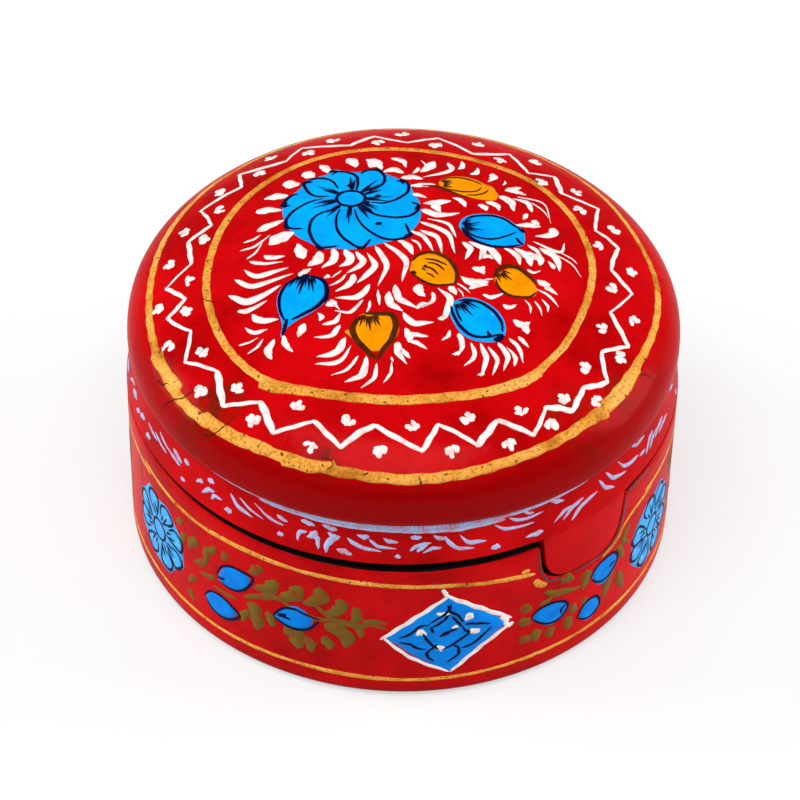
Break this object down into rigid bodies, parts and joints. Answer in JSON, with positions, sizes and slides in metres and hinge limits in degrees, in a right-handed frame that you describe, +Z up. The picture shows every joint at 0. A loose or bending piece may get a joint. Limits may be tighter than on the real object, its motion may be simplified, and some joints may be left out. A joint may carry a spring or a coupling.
{
  "type": "papier mache box",
  "caption": "Round red lacquered papier mache box with a domed lift-off lid, a key tab and painted flowers.",
  "frame": {"origin": "middle of the base, on the surface that the box stands on", "axes": "+Z up through the crown of the lid; -Y towards the key tab"},
  "size_m": [0.1, 0.1, 0.0589],
  "materials": {
    "lid_red": "glossy oil varnish over red paint",
    "side_red": "glossy oil varnish over darker red paint",
    "black_lining": "satin black lacquer",
    "gold_paint": "gold powder paint under varnish",
    "white_paint": "brushed white paint under varnish",
    "blue_paint": "brushed bright blue paint under varnish",
    "navy_paint": "fine dark blue brush lines under varnish",
    "orange_paint": "brushed orange paint under varnish",
    "brown_paint": "dark brown brush lines under varnish",
    "pale_blue_paint": "pale blue brush strokes under varnish",
    "olive_paint": "olive brush strokes under varnish"
  },
  "bodies": {
    "box": {"body_wall": "side_red", "base_disc": "black_lining", "collar": "black_lining"},
    "lid": {"lid_skirt": "side_red", "key_tab": "side_red", "lid_top": "lid_red"}
  },
  "joints": [
    {"name": "lid_lift", "type": "slide", "parent": "box", "child": "lid", "axis": [0, 0, 1], "range_m": [0, 0.08]}
  ]
}
